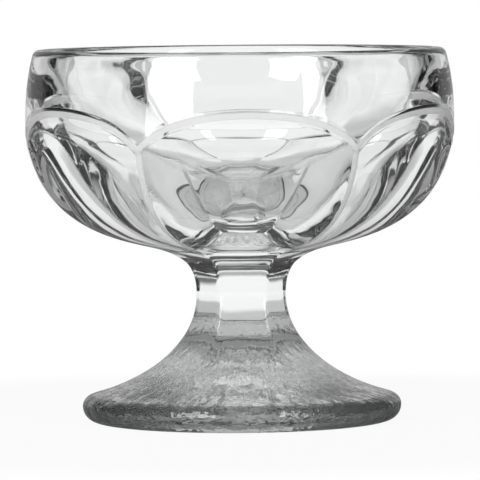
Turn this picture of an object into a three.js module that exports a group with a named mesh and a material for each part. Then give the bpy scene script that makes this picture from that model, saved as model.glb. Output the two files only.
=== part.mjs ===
// A footed dessert glass of clear pressed glass: thick cup with six arched panels, six-sided stem, round foot.
// Millimetres, +Z up. The origin is the middle of the standing surface, and the middle of one panel faces -Y.
import * as THREE from 'three';

// Panels, shared by the bowl and the stem. "Flats" are sizes across two opposite panels.
const panelCount = 6;
const cornerRadius = 1.6; // rounding of the ridges between panels

// Foot
const footDiameter = 68.6;
const footHeight = 19; // standing surface to the stem
const footEdgeRadius = 3.3; // fat rounded edge, from the standing ring out to the widest line
const footRollRadius = 2.5; // tighter roll from there on to the upper face
const footEdgeSlope = 14.5; // degrees that the upper face falls at the edge
const footRingWidth = 3.6; // flat ring that the glass stands on
const footHollowDepth = 3; // dome pressed into the underside
const facetFade = 9; // height over which the stem's panels die out on the foot

// Stem
const lowerJointFlats = 21.1;
const waistFlats = 17;
const upperJointFlats = 20.6;
const stemHeight = 15;
const waistHeight = 8.3; // above the lower joint
const lowerJointLean = 28; // degrees from upright of the panels at each joint
const upperJointLean = 40;

// Bowl, outside
const bowlDiameter = 92; // across the round band at its widest
const underFlats = 37.8; // where the neck runs out into the underside of the bowl
const underHeight = 3.9; // of that line above the upper joint
const underLean = 76.8; // degrees from upright there
const underPull = 0.44; // how far the underside keeps that lean, as a share of the side's slant
const panelFlats = 79; // at the top of the plain panel
const panelHeight = 24; // upper joint to the top of the plain panel
const panelLean = 12; // degrees from upright there
const panelPull = 0.36; // how far the panel keeps that lean, as a share of the side's slant
const archRise = 8.9; // scooped top of a panel, up to the crown of its arch
const bandHeight = 13.1; // crown of the arches to the rim
const bandCurve = 45; // radius of the band's inward curve towards the rim
const lipRadius = 1.65; // fully rounded lip

// Bowl, inside
const floorThickness = 9.8; // glass between the upper joint and the bottom of the hollow
const floorPull = 0.55; // how flat the hollow's floor is, as a share of its slant
const wallLean = 2; // degrees from upright of the inner wall just under the lip
const wallPull = 0.35; // how straight that wall is, as a share of its slant

// Fineness of the mesh
const aroundSteps = 72;
const domeSteps = 4;
const edgeSteps = 4;
const rollSteps = 4;
const flareSteps = 10;
const stemSteps = 5;
const neckSteps = 4;
const sideSteps = 9;
const scoopSteps = 4;
const bandSteps = 4;
const lipSteps = 7;
const hollowSteps = 12;
const halvings = 40; // of the search for an arch's height

// Levels and radii that follow
const degree = Math.PI / 180;
const evenPull = 0.33; // share of the slant that makes an even curve
const halfPanel = Math.PI / panelCount;
const lowerJoint = footHeight;
const upperJoint = lowerJoint + stemHeight;
const panelTop = upperJoint + panelHeight;
const archCrown = panelTop + archRise;
const rim = archCrown + bandHeight;
const bandRadius = bowlDiameter / 2;

const { lerp, smoothstep } = THREE.MathUtils;
const shares = (count) => Array.from({ length: count }, (_, i) => (i + 1) / count);
const polar = (centre, radius, turn) =>
  new THREE.Vector2(centre.x + radius * Math.cos(turn), centre.y + radius * Math.sin(turn));

// A section with flat sides and rounded corners: its size across a corner from that across a flat, and back
const cornerOf = (flat) => (flat - cornerRadius) / Math.cos(halfPanel) + cornerRadius;
const flatOf = (corner) => (corner - cornerRadius) * Math.cos(halfPanel) + cornerRadius;

// Radius of that section at an angle, which is 0 in the middle of the panel that faces -Y
function section(angle, flat) {
  const turns = angle / (2 * halfPanel);
  const fromMiddle = Math.abs(turns - Math.round(turns)) * 2 * halfPanel;
  const flatEnd = Math.atan2((flat - cornerRadius) * Math.tan(halfPanel), flat);
  if (fromMiddle <= flatEnd) return flat / Math.cos(fromMiddle);
  const cornerCentre = (flat - cornerRadius) / Math.cos(halfPanel);
  const along = cornerCentre * Math.cos(halfPanel - fromMiddle);
  const across = cornerCentre * Math.sin(halfPanel - fromMiddle);
  return along + Math.sqrt(Math.max(cornerRadius ** 2 - across ** 2, 0));
}

// Curve in the plane of radius and height that leaves one point and meets another at given leans from upright
function flow(start, startLean, end, endLean, startPull = evenPull, endPull = evenPull) {
  const slant = start.distanceTo(end);
  const heading = (lean) => new THREE.Vector2(Math.sin(lean * degree), Math.cos(lean * degree));
  const startHandle = heading(startLean).multiplyScalar(startPull * slant).add(start);
  const endHandle = heading(endLean).multiplyScalar(-endPull * slant).add(end);
  return new THREE.CubicBezierCurve(start, startHandle, endHandle, end);
}

// A ring is a radius and a height, each a function of the angle
const roundRing = (point) => ({ radius: () => point.x, height: () => point.y });
const panelRing = (point) => ({ radius: (angle) => section(angle, point.x), height: () => point.y });

// Closed solid skinned over rings, from a point on the axis through every ring to another point on the axis
function skin(startHeight, rings, endHeight) {
  const positions = [];
  for (const ring of rings) {
    for (let i = 0; i < aroundSteps; i++) {
      const angle = (2 * Math.PI * i) / aroundSteps;
      const radius = ring.radius(angle);
      positions.push(radius * Math.sin(angle), -radius * Math.cos(angle), ring.height(angle));
    }
  }
  const start = positions.length / 3;
  const end = start + 1;
  positions.push(0, 0, startHeight, 0, 0, endHeight);

  const triangles = [];
  const lastRow = (rings.length - 1) * aroundSteps;
  for (let i = 0; i < aroundSteps; i++) {
    const next = (i + 1) % aroundSteps;
    triangles.push(start, next, i);
    for (let row = 0; row < lastRow; row += aroundSteps) {
      const above = row + aroundSteps;
      triangles.push(row + i, row + next, above + next);
      triangles.push(row + i, above + next, above + i);
    }
    triangles.push(end, lastRow + i, lastRow + next);
  }

  const geometry = new THREE.BufferGeometry();
  geometry.setAttribute('position', new THREE.Float32BufferAttribute(positions, 3));
  geometry.setIndex(triangles);
  geometry.computeVertexNormals();
  return geometry;
}

// Foot: domed underside, standing ring, rounded edge, and the flare on which the stem's panels die out
function footGeometry() {
  const edgeCentre = new THREE.Vector2(footDiameter / 2 - footEdgeRadius, footEdgeRadius);
  const ringInside = edgeCentre.x - footRingWidth;
  const domeRadius = (ringInside ** 2 + footHollowDepth ** 2) / (2 * footHollowDepth);
  const domeCentre = footHollowDepth - domeRadius;
  const dome = shares(domeSteps).map((share) => {
    const radius = share * ringInside;
    return new THREE.Vector2(radius, domeCentre + Math.sqrt(domeRadius ** 2 - radius ** 2));
  });

  const rollCentre = new THREE.Vector2(footDiameter / 2 - footRollRadius, footEdgeRadius);
  const rollEnd = (90 - footEdgeSlope) * degree;
  const edge = [
    ...[0, ...shares(edgeSteps)].map((share) => polar(edgeCentre, footEdgeRadius, (share - 1) * Math.PI / 2)),
    ...shares(rollSteps).map((share) => polar(rollCentre, footRollRadius, lerp(0, rollEnd, share))),
  ];

  const joint = new THREE.Vector2(cornerOf(lowerJointFlats / 2), lowerJoint);
  const jointLean = Math.atan(Math.tan(lowerJointLean * degree) / Math.cos(halfPanel)) / degree;
  const flare = flow(edge.at(-1), footEdgeSlope - 90, joint, -jointLean).getSpacedPoints(flareSteps).slice(1);
  const flareRings = flare.map((point) => {
    const flatness = smoothstep(point.y, lowerJoint - facetFade, lowerJoint);
    return {
      radius: (angle) => lerp(point.x, section(angle, flatOf(point.x)), flatness),
      height: () => point.y,
    };
  });
  return skin(footHollowDepth, [...[...dome, ...edge].map(roundRing), ...flareRings], lowerJoint);
}

// Stem: flat sides drawn in to the waist
function stemGeometry() {
  const bottom = new THREE.Vector2(lowerJointFlats / 2, lowerJoint);
  const waist = new THREE.Vector2(waistFlats / 2, lowerJoint + waistHeight);
  const top = new THREE.Vector2(upperJointFlats / 2, upperJoint);
  const lower = flow(bottom, -lowerJointLean, waist, 0).getSpacedPoints(stemSteps);
  const upper = flow(waist, 0, top, upperJointLean).getSpacedPoints(stemSteps).slice(1);
  return skin(lowerJoint, [...lower, ...upper].map(panelRing), upperJoint);
}

// Bowl: panels from the stem up, scooped out into arches at their tops, then the band, the lip and the hollow
function bowlGeometry() {
  const joint = new THREE.Vector2(upperJointFlats / 2, upperJoint);
  const under = new THREE.Vector2(underFlats / 2, upperJoint + underHeight);
  const shoulder = new THREE.Vector2(panelFlats / 2, panelTop);
  const neck = flow(joint, upperJointLean, under, underLean).getSpacedPoints(neckSteps);
  const side = flow(under, underLean, shoulder, panelLean, underPull, panelPull);
  const panel = [...neck, ...side.getSpacedPoints(sideSteps).slice(1)];

  // The scoop is an arc that leaves the panel at its own lean and cuts the band's outside at the crown
  const rise = new THREE.Vector2(bandRadius, archCrown).sub(shoulder);
  const halfTurn = Math.atan2(rise.x, rise.y) - panelLean * degree;
  const scoopRadius = rise.length() / (2 * Math.sin(halfTurn));
  const scoopFlat = (height) => {
    const sine = Math.sin(panelLean * degree) + (height - panelTop) / scoopRadius;
    const cosine = Math.sqrt(Math.max(1 - sine ** 2, 0));
    return shoulder.x + scoopRadius * (Math.cos(panelLean * degree) - cosine);
  };

  // Height at which the scoop meets the band, highest in the middle of a panel and lowest on a ridge
  const archHeight = (angle) => {
    let low = panelTop;
    let high = archCrown;
    for (let i = 0; i < halvings; i++) {
      const middle = (low + high) / 2;
      if (section(angle, scoopFlat(middle)) < bandRadius) low = middle;
      else high = middle;
    }
    return low;
  };
  const scoop = shares(scoopSteps).map((share) => {
    const height = (angle) => lerp(panelTop, archHeight(angle), share);
    return { radius: (angle) => section(angle, scoopFlat(height(angle))), height };
  });

  // The band is upright up to the crown and then curves in to the lip, which touches it from inside
  const bandCentre = new THREE.Vector2(bandRadius - bandCurve, archCrown);
  const lipRise = bandHeight - lipRadius;
  const lipReach = Math.sqrt((bandCurve - lipRadius) ** 2 - lipRise ** 2);
  const lipCentre = new THREE.Vector2(bandCentre.x + lipReach, rim - lipRadius);
  const lipStart = Math.atan2(lipRise, lipReach);
  const lipEnd = Math.PI - wallLean * degree;
  const lip = [0, ...shares(lipSteps)].map((share) =>
    polar(lipCentre, lipRadius, lerp(lipStart, lipEnd, share)));
  const bandAt = (height) =>
    bandCentre.x + Math.sqrt(bandCurve ** 2 - Math.max(height - archCrown, 0) ** 2);
  const band = shares(bandSteps).slice(0, -1).map((share) => {
    const height = (angle) => lerp(archHeight(angle), lip[0].y, share);
    return { radius: (angle) => bandAt(height(angle)), height };
  });

  // The hollow runs from the lip down to a rounded floor
  const floor = new THREE.Vector2(0, upperJoint + floorThickness);
  const hollow = flow(lip.at(-1), wallLean + 180, floor, 270, wallPull, floorPull);
  const wall = hollow.getSpacedPoints(hollowSteps).slice(1, -1);

  const rings = [...panel.map(panelRing), ...scoop, ...band, ...[...lip, ...wall].map(roundRing)];
  return skin(upperJoint, rings, floor.y);
}

// Clear, colourless, fire-polished glass
function clearGlass() {
  return new THREE.MeshStandardMaterial({
    color: '#eef1f1',
    roughness: 0.04,
    metalness: 0,
    transparent: true,
    opacity: 0.35,
  });
}

function piece(name, geometry) {
  const mesh = new THREE.Mesh(geometry, clearGlass());
  mesh.name = name;
  return mesh;
}

const glass = new THREE.Group();
glass.add(piece('foot', footGeometry()), piece('stem', stemGeometry()), piece('bowl', bowlGeometry()));

export default glass;
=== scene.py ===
import math

import bmesh
import bpy
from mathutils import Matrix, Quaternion, Vector
from mathutils.geometry import interpolate_bezier


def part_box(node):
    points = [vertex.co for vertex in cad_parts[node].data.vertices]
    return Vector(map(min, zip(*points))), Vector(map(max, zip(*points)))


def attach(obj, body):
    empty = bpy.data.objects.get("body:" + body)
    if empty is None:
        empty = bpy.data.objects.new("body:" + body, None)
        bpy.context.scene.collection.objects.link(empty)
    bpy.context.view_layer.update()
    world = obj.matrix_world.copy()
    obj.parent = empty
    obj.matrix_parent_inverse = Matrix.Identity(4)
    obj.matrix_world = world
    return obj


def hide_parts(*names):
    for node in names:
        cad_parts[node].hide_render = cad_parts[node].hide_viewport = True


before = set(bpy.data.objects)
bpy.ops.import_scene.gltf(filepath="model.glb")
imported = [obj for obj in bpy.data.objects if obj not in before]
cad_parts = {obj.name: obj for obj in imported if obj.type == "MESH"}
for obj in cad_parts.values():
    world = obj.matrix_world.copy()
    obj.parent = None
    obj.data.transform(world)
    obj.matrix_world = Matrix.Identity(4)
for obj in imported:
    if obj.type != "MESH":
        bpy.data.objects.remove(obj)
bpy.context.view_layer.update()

mm = 0.001
tolerance = 0.001 * mm      # for finding vertices and faces on a level
levelNormal = 0.999         # upward part of a normal from which a face counts as level

# levels and radii that the frame fixes
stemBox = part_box("stem")
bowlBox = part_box("bowl")
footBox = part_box("foot")
lowerJoint = stemBox[0].z
upperJoint = stemBox[1].z
rim = bowlBox[1].z
bandRadius = bowlBox[1].x
footRadius = footBox[1].x

# panels run through bowl and stem, so all three pieces share one set of columns
panelSet = {
    "count": 6,
    "cornerRadius": 1.6 * mm,   # rounding of the ridges
    "columnsPerPanel": 12,
    "smoothLevels": 2,
    "evenPull": 0.33,           # share of the slant that gives an even curve
    "sharpAngle": 38,           # degrees, only the joint faces are sharper
}
halfPanel = math.pi / panelSet["count"]
columns = panelSet["count"] * panelSet["columnsPerPanel"]


def lerp(start, end, share):
    return start + (end - start) * share


def smoothStep(value, low, high):
    share = min(max((value - low) / (high - low), 0), 1)
    return share * share * (3 - 2 * share)


def cornerOf(flat):
    return (flat - panelSet["cornerRadius"]) / math.cos(halfPanel) + panelSet["cornerRadius"]


def flatOf(corner):
    return (corner - panelSet["cornerRadius"]) * math.cos(halfPanel) + panelSet["cornerRadius"]


# turn about the axis, 0 in the middle of the panel that faces -Y
def angleOf(point):
    return math.atan2(point.x, -point.y)


# and from the middle of the nearest panel
def fromPanel(angle):
    turns = angle / (2 * halfPanel)
    return (turns - round(turns)) * 2 * halfPanel


# radius of the six-sided section
def section(angle, flat):
    rounding = panelSet["cornerRadius"]
    offset = abs(fromPanel(angle))
    if offset <= math.atan2((flat - rounding) * math.tan(halfPanel), flat):
        return flat / math.cos(offset)
    centre = (flat - rounding) / math.cos(halfPanel)
    along = centre * math.cos(halfPanel - offset)
    across = centre * math.sin(halfPanel - offset)
    return along + math.sqrt(max(rounding ** 2 - across ** 2, 0))


# columns crowd together towards the ridges, where the section turns
def columnAngle(angle):
    offset = fromPanel(angle)
    return angle - offset + math.sin(offset / halfPanel * math.pi / 2) * halfPanel


# points along a curve of (radius, height) with given leans from upright at its ends
def flow(start, startLean, end, endLean, steps, startPull=None, endPull=None):
    slant = math.dist(start, end)
    startPull = (startPull or panelSet["evenPull"]) * slant
    endPull = (endPull or panelSet["evenPull"]) * slant

    def ahead(point, lean, distance):
        lean = math.radians(lean)
        return Vector((point[0] + distance * math.sin(lean), point[1] + distance * math.cos(lean), 0))

    knots = (
        Vector((*start, 0)),
        ahead(start, startLean, startPull),
        ahead(end, endLean, -endPull),
        Vector((*end, 0)),
    )
    return [(point.x, point.y) for point in interpolate_bezier(*knots, steps + 1)]


def arc(centre, radius, start, end, steps):
    turns = [lerp(start, end, i / steps) for i in range(steps + 1)]
    return [(centre[0] + radius * math.cos(turn), centre[1] + radius * math.sin(turn)) for turn in turns]


# a filled circle is the first ring, and the piece grows from it ring by ring
def startPiece(name, ring):
    bpy.ops.object.select_all(action="DESELECT")
    bpy.ops.mesh.primitive_circle_add(
        vertices=columns, radius=ring[0], fill_type="NGON",
        location=(0, 0, ring[1]), rotation=(0, 0, -math.pi / 2))
    piece = bpy.context.object
    piece.name = name
    piece.data.name = name
    bpy.ops.object.transform_apply(location=True, rotation=True, scale=True)
    bpy.ops.object.mode_set(mode="EDIT")
    bpy.ops.mesh.select_all(action="SELECT")
    return piece


def growRings(rings):
    for last, ring in zip(rings, rings[1:]):
        bpy.ops.mesh.extrude_region_move(TRANSFORM_OT_translate={"value": (0, 0, ring[1] - last[1])})
        scale = ring[0] / last[0]
        bpy.ops.transform.resize(value=(scale, scale, 1), center_override=(0, 0, 0))


# moves every vertex by a rule of (angle, radius, height), as the mould's panels do
def pressPanels(piece, rule):
    mesh = bmesh.from_edit_mesh(piece.data)
    for vert in mesh.verts:
        angle = columnAngle(angleOf(vert.co))
        radius, height = rule(angle, math.hypot(vert.co.x, vert.co.y), vert.co.z)
        vert.co = (radius * math.sin(angle), -radius * math.cos(angle), height)
    bmesh.update_edit_mesh(piece.data)


# selects edges by a test on their two ends
def selectEdges(piece, test):
    bpy.ops.mesh.select_mode(type="EDGE")
    bpy.ops.mesh.select_all(action="DESELECT")
    mesh = bmesh.from_edit_mesh(piece.data)
    for edge in mesh.edges:
        edge.select = all(test(vert.co) for vert in edge.verts)
    bmesh.update_edit_mesh(piece.data)


# selects faces by a test on their centre and normal
def selectFaces(piece, test):
    bpy.ops.mesh.select_mode(type="FACE")
    bpy.ops.mesh.select_all(action="DESELECT")
    mesh = bmesh.from_edit_mesh(piece.data)
    for face in mesh.faces:
        face.select = test(face.calc_center_median(), face.normal)
    bmesh.update_edit_mesh(piece.data)


# true on a level face at that height
def onLevel(centre, normal, level):
    return abs(centre.z - level) < tolerance and abs(normal.z) > levelNormal


# gives the faces that pass the test another finish
def coat(piece, material, test):
    piece.data.materials.append(material)
    bpy.ops.object.mode_set(mode="EDIT")
    selectFaces(piece, test)
    piece.active_material_index = len(piece.data.materials) - 1
    bpy.ops.object.material_slot_assign()
    bpy.ops.object.mode_set(mode="OBJECT")


def finishPiece(piece, joints, glass, fusedJoint):
    for level in joints:   # the joint's rim stays crisp, so that both pieces meet on one line
        selectEdges(piece, lambda co: abs(co.z - level) < tolerance)
        bpy.ops.transform.edge_crease(value=1)
    bpy.ops.mesh.select_all(action="SELECT")
    bpy.ops.mesh.normals_make_consistent(inside=False)
    bpy.ops.object.mode_set(mode="OBJECT")
    smooth = piece.modifiers.new("smooth", "SUBSURF")
    smooth.levels = panelSet["smoothLevels"]
    smooth.render_levels = panelSet["smoothLevels"]
    bpy.ops.object.modifier_apply(modifier=smooth.name)
    bpy.ops.object.shade_smooth_by_angle(angle=math.radians(panelSet["sharpAngle"]))
    piece.data.materials.append(glass)
    coat(piece, fusedJoint, lambda centre, normal: any(onLevel(centre, normal, level) for level in joints))
    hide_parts(piece.name.removeprefix("glass_"))
    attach(piece, "root")
    print("made", piece.name, len(piece.data.polygons), "faces")


def linear(hexColour):
    channels = [int(hexColour[i:i + 2], 16) / 255 for i in (1, 3, 5)]
    return [c / 12.92 if c <= 0.04045 else ((c + 0.055) / 1.055) ** 2.4 for c in channels] + [1]


# adds one node, sets its inputs and links the sockets given as (node, output)
def addNode(tree, kind, inputs=None, **settings):
    node = tree.nodes.new(kind)
    for key, value in settings.items():
        setattr(node, key, value)
    for key, value in (inputs or {}).items():
        if isinstance(value, tuple) and isinstance(value[0], bpy.types.Node):
            tree.links.new(value[0].outputs[value[1]], node.inputs[key])
        else:
            node.inputs[key].default_value = value
    return node


def newMaterial(name):
    material = bpy.data.materials.new(name)
    material.use_nodes = True
    material.node_tree.nodes.clear()
    return material, material.node_tree


glassSet = {
    "refraction": 1.52,             # soda-lime glass
    "drumRadius": 20 * mm,
    "grain": 2.4 * mm,              # size, depth and upper end of the foot's mottled skin
    "grainDepth": 0.65 * mm,
    "grainDetail": 2.0,
    "grainRoughness": 0.6,
    "grainTop": (14 * mm, 19 * mm),
    "ripple": 7 * mm,               # size and depth of the soft waves that fire polishing leaves
    "rippleDepth": 0.08 * mm,
    "rippleDetail": 1.0,
    "finishes": {
        # clear, with a smooth skin
        "soda_lime_pressed_glass": {"colour": "#fcfdfd", "roughness": 0.0, "clearness": 1.0},
        # left rough by the mould: a frosty skin that scatters what it mirrors
        "stippled_pressed_glass": {"colour": "#fcfdfd", "roughness": 0.22, "clearness": 1.0},
        # painted shade: a grey tint that darkens the foot's rim, standing in for the dark it shows by
        # refraction
        "pressed_glass_painted_dark_rim": {"colour": "#808382", "roughness": 0.05, "clearness": 1.0},
        # painted highlight: a white, half-matt finish on the ridges and arches that shows as white lines,
        # where the rounded edges catch the light
        "pressed_glass_painted_highlight": {"colour": "#ffffff", "roughness": 0.5, "clearness": 0.5},
    },
    "bounceShade": (2.5, 8, 0.01),         # painted shade: inner reflections where floor and walls start and stop fading to dark, and the share left then
}


# grains laid round a drum, so that they look as tall as wide from any side, up to where the skin turns smooth
def addMottle(tree, place):
    s = glassSet
    split = addNode(tree, "ShaderNodeSeparateXYZ", {0: (place, "Object")})
    level = addNode(tree, "ShaderNodeCombineXYZ", {0: (split, "X"), 1: (split, "Y")})
    outward = addNode(tree, "ShaderNodeVectorMath", {0: (level, "Vector")}, operation="NORMALIZE")
    drum = addNode(tree, "ShaderNodeVectorMath", {
        0: (outward, "Vector"), "Scale": s["drumRadius"]}, operation="SCALE")
    upright = addNode(tree, "ShaderNodeCombineXYZ", {2: (split, "Z")})
    onDrum = addNode(tree, "ShaderNodeVectorMath", {
        0: (drum, "Vector"), 1: (upright, "Vector")}, operation="ADD")
    grains = addNode(tree, "ShaderNodeTexNoise", {
        "Vector": (onDrum, "Vector"), "Scale": 1 / s["grain"],
        "Detail": s["grainDetail"], "Roughness": s["grainRoughness"]})
    fade = addNode(tree, "ShaderNodeMapRange", {
        "Value": (split, "Z"), "From Min": s["grainTop"][0], "From Max": s["grainTop"][1],
        "To Min": 1.0, "To Max": 0.0}, interpolation_type="SMOOTHSTEP")
    mottle = addNode(tree, "ShaderNodeMath", {
        0: (grains, "Fac"), 1: (fade, "Result")}, operation="MULTIPLY")
    return addNode(tree, "ShaderNodeBump", {
        "Strength": 1.0, "Distance": s["grainDepth"], "Height": (mottle, "Value")})


# Glass pressed in an iron mould and fire-polished: soft waves all over, a mottled skin on the foot
def makeGlass(name):
    s = glassSet
    finish = s["finishes"][name]
    material, tree = newMaterial(name)
    place = addNode(tree, "ShaderNodeTexCoord")
    mottled = addMottle(tree, place)
    ripples = addNode(tree, "ShaderNodeTexNoise", {
        "Vector": (place, "Object"), "Scale": 1 / s["ripple"], "Detail": s["rippleDetail"]})
    rippled = addNode(tree, "ShaderNodeBump", {
        "Strength": 1.0, "Distance": s["rippleDepth"],
        "Height": (ripples, "Fac"), "Normal": (mottled, "Normal")})
    shader = addNode(tree, "ShaderNodeBsdfPrincipled", {
        "Base Color": linear(finish["colour"]), "Roughness": finish["roughness"], "IOR": s["refraction"],
        "Transmission Weight": finish["clearness"], "Normal": (rippled, "Normal")})
    addNode(tree, "ShaderNodeOutputMaterial", {"Surface": (shader, "BSDF")})
    return material


# The two pieces are one glass where they were fused hot, so nothing shows on that plane
def makeFusedJoint():
    material, tree = newMaterial("fused_glass_joint")
    shader = addNode(tree, "ShaderNodeBsdfTransparent")
    addNode(tree, "ShaderNodeOutputMaterial", {"Surface": (shader, "BSDF")})
    return material


stemSet = {
    "lowerFlat": 10.55 * mm,
    "waistFlat": 8.5 * mm,
    "upperFlat": 10.3 * mm,
    "waistHeight": 8.3 * mm,
    "lowerLean": 28,            # degrees from upright, as all leans are
    "upperLean": 40,
    "steps": 6,
}


def makeStem(glass, fusedJoint):
    s = stemSet
    waist = (s["waistFlat"], lowerJoint + s["waistHeight"])
    lower = flow((s["lowerFlat"], lowerJoint), -s["lowerLean"], waist, 0, s["steps"])
    upper = flow(waist, 0, (s["upperFlat"], upperJoint), s["upperLean"], s["steps"])
    blank = [(cornerOf(flat), height) for flat, height in lower + upper[1:]]
    piece = startPiece("glass_stem", blank[0])
    growRings(blank)
    pressPanels(piece, lambda angle, radius, height: (section(angle, flatOf(radius)), height))
    finishPiece(piece, [lowerJoint, upperJoint], glass, fusedJoint)


footSet = {
    "edgeRadius": 3.3 * mm,     # from the standing ring out to the widest line
    "edgeSteps": 5,
    "rollRadius": 2.5 * mm,     # from there on to the upper face
    "rollSteps": 5,
    "edgeSlope": 14.5,
    "flareSteps": 14,
    "facetFade": 9 * mm,
    "ringWidth": 3.6 * mm,
    "ringShares": (0.15, 0.5, 0.85),
    "hollowDepth": 3 * mm,
    "domeShares": (0.02, 0.12, 0.3, 0.48, 0.66, 0.82, 0.93, 1),
    "stippleGrain": 1.6 * mm,   # bumps that the mould leaves on the underside
    "stippleDepth": 0.8 * mm,
    "underNormal": -0.5,        # upward part of a normal below which a face belongs to the underside
    "rimNormal": 0.96,          # and below which it belongs to the rim
    "rimMargin": 0.2 * mm,
}


# bumps pressed up into the faces just coated, which stay inside the standing ring
def stippleSelected(piece):
    s = footSet
    bpy.ops.object.mode_set(mode="EDIT")
    bpy.ops.object.vertex_group_add()
    bpy.ops.object.vertex_group_assign()
    bpy.ops.object.mode_set(mode="OBJECT")
    clouds = bpy.data.textures.new("stipple", "CLOUDS")
    clouds.noise_scale = s["stippleGrain"]
    stipple = piece.modifiers.new("stipple", "DISPLACE")
    stipple.texture = clouds
    stipple.texture_coords = "LOCAL"
    stipple.direction = "Z"
    stipple.mid_level = 0
    stipple.strength = s["stippleDepth"]
    stipple.vertex_group = piece.vertex_groups[0].name
    bpy.ops.object.modifier_apply(modifier=stipple.name)
    print("stippled", piece.name)


def makeFoot(glass, fusedJoint, stippled, paintedDarkRimGlass):
    s = footSet
    edgeCentre = (footRadius - s["edgeRadius"], s["edgeRadius"])
    ringInside = edgeCentre[0] - s["ringWidth"]
    domeRadius = (ringInside ** 2 + s["hollowDepth"] ** 2) / (2 * s["hollowDepth"])
    dome = []
    for share in s["domeShares"]:
        radius = share * ringInside
        dome.append((radius, s["hollowDepth"] - domeRadius + math.sqrt(domeRadius ** 2 - radius ** 2)))
    ring = [(lerp(ringInside, edgeCentre[0], share), 0) for share in s["ringShares"]]
    rollCentre = (footRadius - s["rollRadius"], s["edgeRadius"])
    edge = arc(edgeCentre, s["edgeRadius"], -math.pi / 2, 0, s["edgeSteps"])
    edge += arc(rollCentre, s["rollRadius"], 0, math.radians(90 - s["edgeSlope"]), s["rollSteps"])[1:]

    # the stem's lean is that of its flat sides, and its corners lean more
    flatLean = math.radians(stemSet["lowerLean"])
    cornerLean = math.degrees(math.atan(math.tan(flatLean) / math.cos(halfPanel)))
    joint = (cornerOf(stemSet["lowerFlat"]), lowerJoint)
    flare = flow(edge[-1], s["edgeSlope"] - 90, joint, -cornerLean, s["flareSteps"])
    blank = dome + ring + edge + flare[1:]
    piece = startPiece("glass_foot", blank[0])
    growRings(blank)

    def press(angle, radius, height):
        flatness = smoothStep(height, lowerJoint - s["facetFade"], lowerJoint)
        return lerp(radius, section(angle, flatOf(radius)), flatness) if flatness else radius, height

    def onUnderside(centre, normal):
        return normal.z < s["underNormal"] and math.hypot(centre.x, centre.y) < ringInside

    def onRim(centre, normal):
        return normal.z < s["rimNormal"] and math.hypot(centre.x, centre.y) > edge[-1][0] - s["rimMargin"]

    pressPanels(piece, press)
    finishPiece(piece, [lowerJoint], glass, fusedJoint)
    coat(piece, stippled, onUnderside)
    stippleSelected(piece)
    # painted shade: the foot's rim gets the grey-tinted glass
    coat(piece, paintedDarkRimGlass, onRim)


bowlSet = {
    "underFlat": 18.9 * mm,     # where the neck runs out under the bowl
    "underHeight": 3.9 * mm,
    "underLean": 76.8,
    "underPull": 0.44,
    "neckSteps": 5,
    "panelFlat": 39.5 * mm,     # top of the plain panel
    "panelHeight": 24 * mm,
    "panelLean": 12,
    "panelPull": 0.36,
    "panelSteps": 10,
    "archRise": 8.9 * mm,
    "archShares": (0.25, 0.5, 0.72, 0.88, 1),
    "archRounding": 1.8 * mm,
    "archSegments": 4,
    "halvings": 40,             # of the search for an arch's height
    "archMargin": 2.6 * mm,     # over the arches the rings still follow them
    "marginShares": (0.2, 0.4, 0.6, 0.8, 1),
    "bandCurve": 45 * mm,
    "bandShares": (0.25, 0.5, 0.78, 1),
    "lipRadius": 1.65 * mm,
    "lipSteps": 9,
    "floorThickness": 9.8 * mm,
    "floorPull": 0.55,
    "wallLean": 2,
    "wallPull": 0.35,
    "hollowSteps": 18,
    "poleRadius": 0.6 * mm,     # last ring on the hollow's floor
    "highlightTurn": 22,            # degrees either way from the middle of a ridge that gets the painted highlight
    "highlightReach": 0.75 * mm,    # and either way from an arch's line
}
panelTop = upperJoint + bowlSet["panelHeight"]
archCrown = panelTop + bowlSet["archRise"]
marginTop = archCrown + bowlSet["archMargin"]
bandCentre = bandRadius - bowlSet["bandCurve"]
scoopLean = math.radians(bowlSet["panelLean"])
scoopRise = (bandRadius - bowlSet["panelFlat"], bowlSet["archRise"])
scoopRadius = math.hypot(*scoopRise) / (2 * math.sin(math.atan2(*scoopRise) - scoopLean))


# scoop at a panel's top: an arc from the panel's own lean out to the band
def scoopFlat(height):
    sine = math.sin(scoopLean) + (height - panelTop) / scoopRadius
    return bowlSet["panelFlat"] + scoopRadius * (math.cos(scoopLean) - math.sqrt(max(1 - sine ** 2, 0)))


# height at which the scoop cuts the band
def archHeight(angle):
    low, high = panelTop, archCrown
    for _ in range(bowlSet["halvings"]):
        middle = (low + high) / 2
        if section(angle, scoopFlat(middle)) < bandRadius:
            low = middle
        else:
            high = middle
    return low


ridgeTop = archHeight(halfPanel)    # where two arches meet


# the band is upright up to the crowns and then curves in
def bandAt(height):
    return bandCentre + math.sqrt(bowlSet["bandCurve"] ** 2 - max(height - archCrown, 0) ** 2)


# fully rounded lip, which touches the band from inside
def lipPoints():
    s = bowlSet
    lipRise = rim - s["lipRadius"] - archCrown
    lipReach = math.sqrt((s["bandCurve"] - s["lipRadius"]) ** 2 - lipRise ** 2)
    turns = (math.atan2(lipRise, lipReach), math.pi - math.radians(s["wallLean"]))
    return arc((bandCentre + lipReach, rim - s["lipRadius"]), s["lipRadius"], *turns, s["lipSteps"])


def onRidge(centre, normal):
    if not upperJoint + bowlSet["underHeight"] < centre.z < ridgeTop:
        return False
    return halfPanel - abs(fromPanel(angleOf(normal))) < math.radians(bowlSet["highlightTurn"])


def onArch(centre):
    reach = bowlSet["highlightReach"]
    return panelTop < centre.z < archCrown + reach and abs(centre.z - archHeight(angleOf(centre))) < reach


# ridges and arches of the outside, which faces away from the axis
def isPaintedHighlight(centre, normal):
    if centre.x * normal.x + centre.y * normal.y < 0:
        return False
    return onRidge(centre, normal) or onArch(centre)


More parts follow.
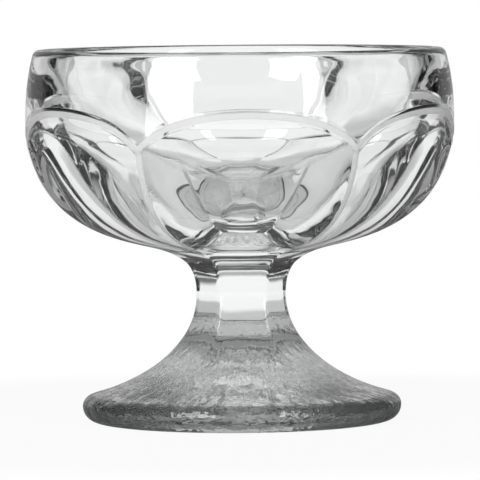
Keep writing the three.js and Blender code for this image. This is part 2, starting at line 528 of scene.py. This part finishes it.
def makeBowl(glass, fusedJoint, paintedHighlight):
    s = bowlSet
    joint = (stemSet["upperFlat"], upperJoint)
    under = (s["underFlat"], upperJoint + s["underHeight"])
    shoulder = (s["panelFlat"], panelTop)
    neck = flow(joint, stemSet["upperLean"], under, s["underLean"], s["neckSteps"])
    side = flow(
        under, s["underLean"], shoulder, s["panelLean"], s["panelSteps"], s["underPull"], s["panelPull"])
    lip = lipPoints()
    bandTop = lip[0][1]

    # round blank first: the scoop and the band are still upright
    blank = [(cornerOf(flat), height) for flat, height in neck + side[1:]]
    blank += [(bandRadius, lerp(panelTop, archCrown, share)) for share in s["archShares"]]
    blank += [(bandRadius, lerp(archCrown, marginTop, share)) for share in s["marginShares"]]
    blank += [(bandRadius, lerp(marginTop, bandTop, share)) for share in s["bandShares"]]
    piece = startPiece("glass_bowl", blank[0])
    growRings(blank)

    def press(angle, radius, height):
        if height <= panelTop + tolerance:
            return section(angle, flatOf(radius)), height
        arch = archHeight(angle)
        if height <= archCrown + tolerance:
            height = lerp(panelTop, arch, (height - panelTop) / s["archRise"])
            return section(angle, scoopFlat(height)), height
        if height <= marginTop + tolerance:
            height = arch + height - archCrown
        else:
            height = lerp(arch + s["archMargin"], bandTop, (height - marginTop) / (bandTop - marginTop))
        return bandAt(height), height

    pressPanels(piece, press)
    selectEdges(piece, lambda co: abs(co.z - archHeight(angleOf(co))) < tolerance)
    bpy.ops.mesh.bevel(offset=s["archRounding"], segments=s["archSegments"], affect="EDGES")

    # lip and hollow grow on from the open top
    floor = (s["poleRadius"], upperJoint + s["floorThickness"])
    hollow = flow(lip[-1], s["wallLean"] + 180, floor, 270, s["hollowSteps"], s["wallPull"], s["floorPull"])
    selectFaces(piece, lambda centre, normal: onLevel(centre, normal, bandTop))
    growRings(lip + hollow[1:])
    bpy.ops.mesh.merge(type="CENTER")
    finishPiece(piece, [upperJoint], glass, fusedJoint)
    # painted highlight: the white finish goes on the outside's ridges and arches
    coat(piece, paintedHighlight, isPaintedHighlight)


cameraSet = {
    "distance": 1130 * mm,
    "height": 101.7 * mm,
    "aim": (-0.17 * mm, 0, 38.8 * mm),
    "azimuth": -2.2,            # degrees, the front panel faces a little to the right
    "roll": -0.47,              # the photograph hangs a little lower on its left
    "view": 5.218,              # degrees across the frame
    "clipEnd": 20000 * mm,
}


def makeCamera():
    s = cameraSet
    turn = math.radians(s["azimuth"])
    place = Vector((s["distance"] * math.sin(turn), -s["distance"] * math.cos(turn), s["height"]))
    heading = (Vector(s["aim"]) - place).to_track_quat("-Z", "Y")
    roll = Quaternion((0, 0, 1), math.radians(s["roll"]))
    bpy.ops.object.camera_add(location=place, rotation=(heading @ roll).to_euler())
    camera = bpy.context.object
    camera.name = "camera"
    camera.data.lens = camera.data.sensor_width / (2 * math.tan(math.radians(s["view"]) / 2))
    camera.data.clip_end = s["clipEnd"]
    bpy.context.scene.camera = camera
    print("placed the camera")


# painted shade: floor and walls are shown fading to dark for rays reflected to and fro inside the glass,
# which darkens the glass's thick edges
def addBounceShade(tree, path):
    start, end, left = glassSet["bounceShade"]
    return addNode(tree, "ShaderNodeMapRange", {
        "Value": (path, "Glossy Depth"), "From Min": start, "From Max": end,
        "To Min": 1.0, "To Max": left})


# 1 for what the glass's outside mirrors, 0 for what is seen directly or through the glass
def addMirrored(tree, path):
    return addNode(tree, "ShaderNodeMath", {
        0: (path, "Is Glossy Ray"), 1: (path, "Is Transmission Ray")}, operation="SUBTRACT", use_clamp=True)


floorSet = {
    "radius": 900 * mm,
    "vertices": 96,
    "colour": "#ececec",
    # painted shade: the paper is shown darker where the glass's outside mirrors it
    "mirroredColour": "#a4a4a4",
    "shadowReach": (98 * mm, 142 * mm),     # where the glass's shadow starts and stops giving way to white; the shadow is partly real and partly painted, as less white is laid over the paper near the glass
    "lift": {                               # share of plain white in the shadow and past it, for each ray
        "Is Camera Ray": (0.93, 1.0),
        "Is Transmission Ray": (0.42, 1.0),
        "Is Glossy Ray": (0.05, 0.05),
    },
    "wedge": (40 * mm, 85 * mm),            # how far back the painted light, a white wedge behind the glass, starts and is white
    "wedgeSlope": 0.9,
}


# how white the paper is shown, from its place and from the ray that sees it
def addLift(tree, path):
    s = floorSet
    place = addNode(tree, "ShaderNodeTexCoord")
    reach = addNode(tree, "ShaderNodeVectorMath", {0: (place, "Object")}, operation="LENGTH")
    lifts = []
    for ray, (near, far) in s["lift"].items():
        ramp = addNode(tree, "ShaderNodeMapRange", {
            "Value": (reach, "Value"), "From Min": s["shadowReach"][0], "From Max": s["shadowReach"][1],
            "To Min": near, "To Max": far}, interpolation_type="SMOOTHSTEP")
        lifts.append(addNode(tree, "ShaderNodeMath", {
            0: (ramp, "Result"), 1: (path, ray)}, operation="MULTIPLY"))

    # painted light: straight behind the glass, the floor seen through it is shown white, for the light
    # between the shadows of the two lamps
    split = addNode(tree, "ShaderNodeSeparateXYZ", {0: (place, "Object")})
    aside = addNode(tree, "ShaderNodeMath", {0: (split, "X")}, operation="ABSOLUTE")
    between = addNode(tree, "ShaderNodeMath", {
        0: (aside, "Value"), 1: -s["wedgeSlope"], 2: (split, "Y")}, operation="MULTIPLY_ADD")
    wedge = addNode(tree, "ShaderNodeMapRange", {
        "Value": (between, "Value"), "From Min": s["wedge"][0], "From Max": s["wedge"][1],
        "To Min": 0.0, "To Max": 1.0}, interpolation_type="SMOOTHSTEP")
    lift = addNode(tree, "ShaderNodeMath", {
        0: (wedge, "Result"), 1: (path, "Is Transmission Ray")}, operation="MULTIPLY")
    for other in lifts:
        lift = addNode(tree, "ShaderNodeMath", {
            0: (lift, "Value"), 1: (other, "Value")}, operation="MAXIMUM")
    return lift


# Matt white paper: even and white, with the glass's soft shadow on it, partly real and partly painted
def makeFloor():
    s = floorSet
    bpy.ops.object.select_all(action="DESELECT")
    bpy.ops.mesh.primitive_circle_add(
        vertices=s["vertices"], radius=s["radius"], fill_type="NGON", location=(0, 0, 0))
    floor = bpy.context.object
    floor.name = "floor"
    material, tree = newMaterial("matt_white_paper")
    path = addNode(tree, "ShaderNodeLightPath")
    shade = addNode(tree, "ShaderNodeMix", {    # its sockets 6, 7 and 2 are the colours
        "Factor": (addMirrored(tree, path), "Value"),
        6: linear(s["colour"]), 7: linear(s["mirroredColour"])}, data_type="RGBA")
    paper = addNode(tree, "ShaderNodeBsdfDiffuse", {"Color": (shade, 2)})
    white = addNode(tree, "ShaderNodeEmission", {
        "Color": linear("#ffffff"), "Strength": (addBounceShade(tree, path), "Result")})
    mixed = addNode(tree, "ShaderNodeMixShader", {
        0: (addLift(tree, path), "Value"), 1: (paper, "BSDF"), 2: (white, "Emission")})
    addNode(tree, "ShaderNodeOutputMaterial", {"Surface": (mixed, "Shader")})
    material.cycles.emission_sampling = "NONE"
    floor.data.materials.append(material)
    print("laid the floor")


studioSet = {
    "wallTop": (-0.2, 0.34),        # sine of the rise up to which the walls are white, around and behind
    "ceilingStart": (0.02, 0.53),   # and from which the dim room over them is seen
    "ceiling": (0.02, 0.5),         # its brightness, white is 1
    "backdropEnd": 0.6,             # cosine of the turn from straight behind, where the backdrop ends
    "backdropStart": 0.9,
    "shine": 0.4,                   # share of the walls that the glass mirrors
    "boxTurn": {"left_soft_box": -39, "right_soft_box": 37},    # degrees round from the camera's side
    "boxWidth": {"left_soft_box": 450 * mm, "right_soft_box": 210 * mm},
    "boxHeight": 1200 * mm,
    "boxDistance": 1166 * mm,       # to the middle of a box, and how far up that lies in degrees
    "boxRise": 31,
    "boxBrightness": 6,
}


# Low white walls around and a higher backdrop behind, with a dim room over them
def makeWorld():
    s = studioSet
    world = bpy.data.worlds.new("studio")
    world.use_nodes = True
    bpy.context.scene.world = world
    tree = world.node_tree
    tree.nodes.clear()
    place = addNode(tree, "ShaderNodeTexCoord")
    split = addNode(tree, "ShaderNodeSeparateXYZ", {0: (place, "Generated")})
    level = addNode(tree, "ShaderNodeCombineXYZ", {0: (split, "X"), 1: (split, "Y")})
    facing = addNode(tree, "ShaderNodeVectorMath", {0: (level, "Vector")}, operation="NORMALIZE")
    rearward = addNode(tree, "ShaderNodeSeparateXYZ", {0: (facing, "Vector")})
    graded = []
    for around, behind in (s["wallTop"], s["ceilingStart"], s["ceiling"]):
        graded.append(addNode(tree, "ShaderNodeMapRange", {
            "Value": (rearward, "Y"), "From Min": s["backdropEnd"], "From Max": s["backdropStart"],
            "To Min": around, "To Max": behind}, interpolation_type="SMOOTHSTEP"))
    height = addNode(tree, "ShaderNodeMapRange", {
        "Value": (split, "Z"), "From Min": (graded[0], "Result"), "From Max": (graded[1], "Result"),
        "To Min": 1.0, "To Max": (graded[2], "Result")}, interpolation_type="SMOOTHSTEP")

    path = addNode(tree, "ShaderNodeLightPath")
    shine = addNode(tree, "ShaderNodeMapRange", {
        "Value": (addMirrored(tree, path), "Value"), "From Min": 0.0, "From Max": 1.0,
        "To Min": 1.0, "To Max": s["shine"]})
    faded = addNode(tree, "ShaderNodeMath", {
        0: (height, "Result"), 1: (addBounceShade(tree, path), "Result")}, operation="MULTIPLY")
    room = addNode(tree, "ShaderNodeMath", {
        0: (faded, "Value"), 1: (shine, "Result")}, operation="MULTIPLY")
    strength = addNode(tree, "ShaderNodeMath", {
        0: (room, "Value"), 1: (path, "Is Camera Ray")}, operation="MAXIMUM")
    background = addNode(tree, "ShaderNodeBackground", {
        "Color": linear("#ffffff"), "Strength": (strength, "Value")})
    addNode(tree, "ShaderNodeOutputWorld", {"Surface": (background, "Background")})
    print("built the walls")


# Two tall soft boxes stand on the floor at the front
def makeSoftBoxes():
    s = studioSet
    rise = math.radians(s["boxRise"])
    reach = s["boxDistance"] * math.cos(rise)
    for name, width in s["boxWidth"].items():
        turn = math.radians(s["boxTurn"][name])
        place = (reach * math.sin(turn), -reach * math.cos(turn), s["boxDistance"] * math.sin(rise))
        bpy.ops.object.light_add(type="AREA", location=place, rotation=(math.pi / 2, 0, turn))
        box = bpy.context.object
        box.name = name
        box.data.shape = "RECTANGLE"
        box.data.size = width
        box.data.size_y = s["boxHeight"]
        box.data.energy = s["boxBrightness"] * math.pi * width * s["boxHeight"]     # in watts
        box.visible_camera = False
        box.visible_transmission = False
        print("set up", name)


scene = bpy.context.scene
scene.view_settings.view_transform = "Standard"
glass = makeGlass("soda_lime_pressed_glass")
fusedJoint = makeFusedJoint()
makeFoot(glass, fusedJoint, makeGlass("stippled_pressed_glass"), makeGlass("pressed_glass_painted_dark_rim"))
makeStem(glass, fusedJoint)
makeBowl(glass, fusedJoint, makeGlass("pressed_glass_painted_highlight"))
makeCamera()
makeFloor()
makeWorld()
makeSoftBoxes()

# thick glass throws light to and fro many times before it gets out
scene.cycles.max_bounces = 32
scene.cycles.glossy_bounces = 24
scene.cycles.transmission_bounces = 32
scene.cycles.caustics_refractive = True
scene.cycles.caustics_reflective = True
